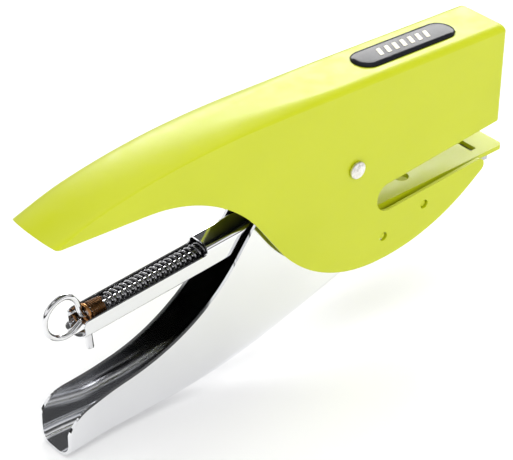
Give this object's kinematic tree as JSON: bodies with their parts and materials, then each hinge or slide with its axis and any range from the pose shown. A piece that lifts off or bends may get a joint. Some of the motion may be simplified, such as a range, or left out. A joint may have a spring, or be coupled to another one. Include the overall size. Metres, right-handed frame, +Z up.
{
  "type": "stapler",
  "caption": "Hand-held plier stapler with a pressed steel body, a squeeze lever, a hinged magazine, a sprung pull-out loader and an anvil plate.",
  "frame": {"origin": "bottom centre of the bounding box, below the lever's tail", "axes": "+X towards the staple head, +Y to the stapler's left side, +Z up, with the top of the head level"},
  "size_m": [0.1624, 0.0212, 0.0826],
  "materials": {
    "lime_paint": "gloss",
    "chrome": "polished",
    "nickel": "satin",
    "spring_steel": "satin",
    "copper_wire": "satin",
    "black_badge": "gloss",
    "hard_steel": "satin"
  },
  "bodies": {
    "frame": {"body_shell": "lime_paint", "badge": "black_badge", "anvil_plate": "lime_paint", "anvil_die": "hard_steel", "anvil_pin_front": "lime_paint", "anvil_pin_rear": "lime_paint", "pivot_rivet": "nickel", "outer_washer_left": "hard_steel", "outer_washer_right": "hard_steel"},
    "magazine": {"magazine_tube": "chrome", "nose_plate": "chrome", "inner_washer_left": "hard_steel", "inner_washer_right": "hard_steel", "return_spring": "spring_steel", "driver_spring": "spring_steel"},
    "loader": {"loader_rod": "chrome", "pull_ring": "chrome", "latch_pin": "chrome", "spring_collar": "copper_wire", "buffer_spring": "copper_wire", "pusher_spring": "spring_steel", "rod_stop": "nickel"},
    "pusher": {"pusher": "nickel"},
    "lever": {"lever": "chrome", "lever_bridge": "hard_steel", "driver_pin": "nickel"},
    "driver": {"driver_blade": "hard_steel", "driver_carrier": "hard_steel", "driver_rivet_left": "nickel", "driver_rivet_right": "nickel"}
  },
  "joints": [
    {"name": "magazine_hinge", "type": "hinge", "parent": "frame", "child": "magazine", "pos_m": [0.01985, 0, 0.0552], "axis": [0, 1, 0], "range_deg": [0, 11.3], "stiffness_Nm_per_rad": 1, "springref_deg": -20.05, "deforming": ["return_spring"]},
    {"name": "lever_hinge", "type": "hinge", "parent": "magazine", "child": "lever", "pos_m": [0.01985, 0, 0.0552], "axis": [0, 1, 0], "range_deg": [0, 7.4], "stiffness_Nm_per_rad": 1, "springref_deg": -20.05, "deforming": ["driver_spring"]},
    {"name": "driver_slide", "type": "slide", "parent": "magazine", "child": "driver", "axis": [0.1149, 0, -0.9934], "range_m": [0, 0.00615]},
    {"name": "loader_slide", "type": "slide", "parent": "magazine", "child": "loader", "axis": [-0.9934, 0, -0.1149], "range_m": [0, 0.13]},
    {"name": "pusher_slide", "type": "slide", "parent": "loader", "child": "pusher", "axis": [-0.9934, 0, -0.1149], "range_m": [0, 0.06], "stiffness_N_per_m": 50, "springref_m": -0.04, "deforming": ["pusher_spring"]}
  ],
  "couplings": [
    {"joint": "driver_slide", "follows": "lever_hinge", "m_per_rad": 0.0475}
  ]
}
